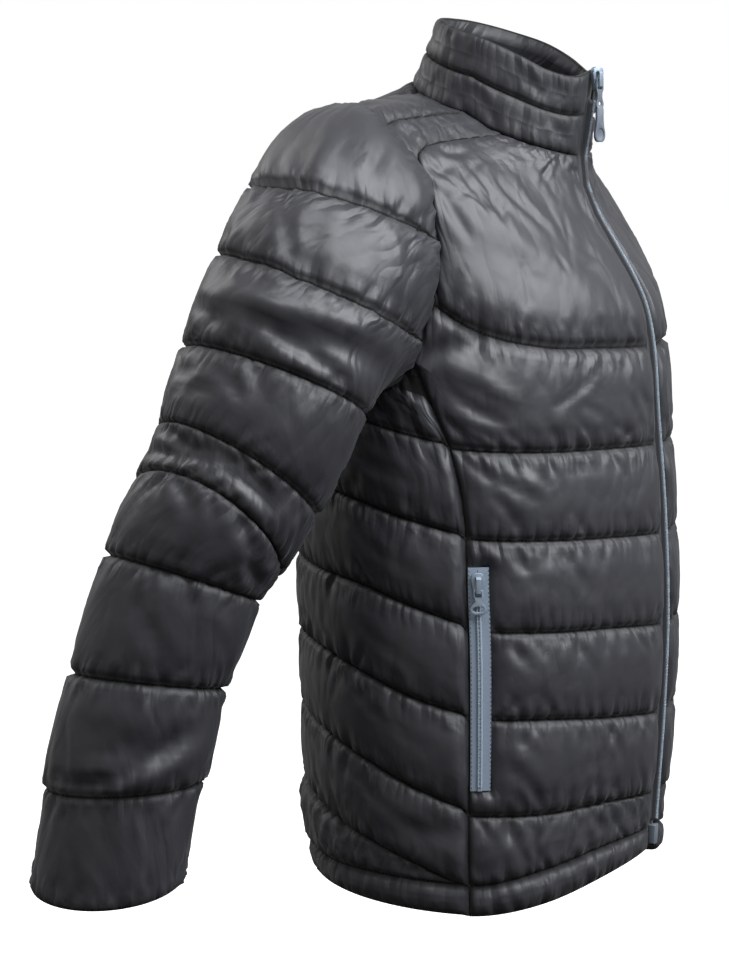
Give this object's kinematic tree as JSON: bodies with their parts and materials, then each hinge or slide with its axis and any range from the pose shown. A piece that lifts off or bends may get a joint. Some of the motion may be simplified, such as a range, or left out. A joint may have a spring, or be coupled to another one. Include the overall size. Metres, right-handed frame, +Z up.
{
  "type": "puffer jacket",
  "caption": "Quilted puffer jacket with a stand collar, front zip, set-in sleeves and zipped side pockets, filled out as worn, hollow and open at neck, hem and cuffs.",
  "frame": {"origin": "middle of the neck opening at shoulder height, where the wearer's neck and shoulders hold the jacket", "axes": "-Y is the jacket's front, +X the wearer's left, +Z up"},
  "size_m": [0.8366, 0.4168, 0.7458],
  "materials": {
    "nylon": "charcoal woven nylon with a soft shine, quilted over padding",
    "zip": "blue-grey woven tape with a moulded coil",
    "metal": "blue-grey lacquer, satin",
    "moulding": "pale blue-grey, satin"
  },
  "bodies": {
    "jacket": {"front_right": "nylon", "front_left": "nylon", "back": "nylon", "shoulder_right": "nylon", "shoulder_left": "nylon", "sleeve_right": "nylon", "sleeve_left": "nylon", "collar": "nylon", "front_zip": "zip", "front_zip_slider": "metal", "front_zip_box": "moulding", "pocket_zip_right": "zip", "pocket_zip_left": "zip", "pocket_slider_right": "metal", "pocket_slider_left": "metal"},
    "front_pull": {"front_zip_pull": "moulding"},
    "right_pocket_pull": {"pocket_pull_right": "metal"},
    "left_pocket_pull": {"pocket_pull_left": "metal"}
  },
  "joints": [
    {"name": "front_pull_hinge", "type": "hinge", "parent": "jacket", "child": "front_pull", "pos_m": [-0.0032, -0.10324, 0.034], "axis": [-0.866, 0.5, 0], "range_deg": [0, 135]},
    {"name": "right_pocket_pull_hinge", "type": "hinge", "parent": "jacket", "child": "right_pocket_pull", "pos_m": [-0.18744, -0.06694, -0.38416], "axis": [-0.5326, 0.8463, 0], "range_deg": [0, 135]},
    {"name": "left_pocket_pull_hinge", "type": "hinge", "parent": "jacket", "child": "left_pocket_pull", "pos_m": [0.18744, -0.06694, -0.38416], "axis": [-0.5326, -0.8463, 0], "range_deg": [0, 135]}
  ]
}
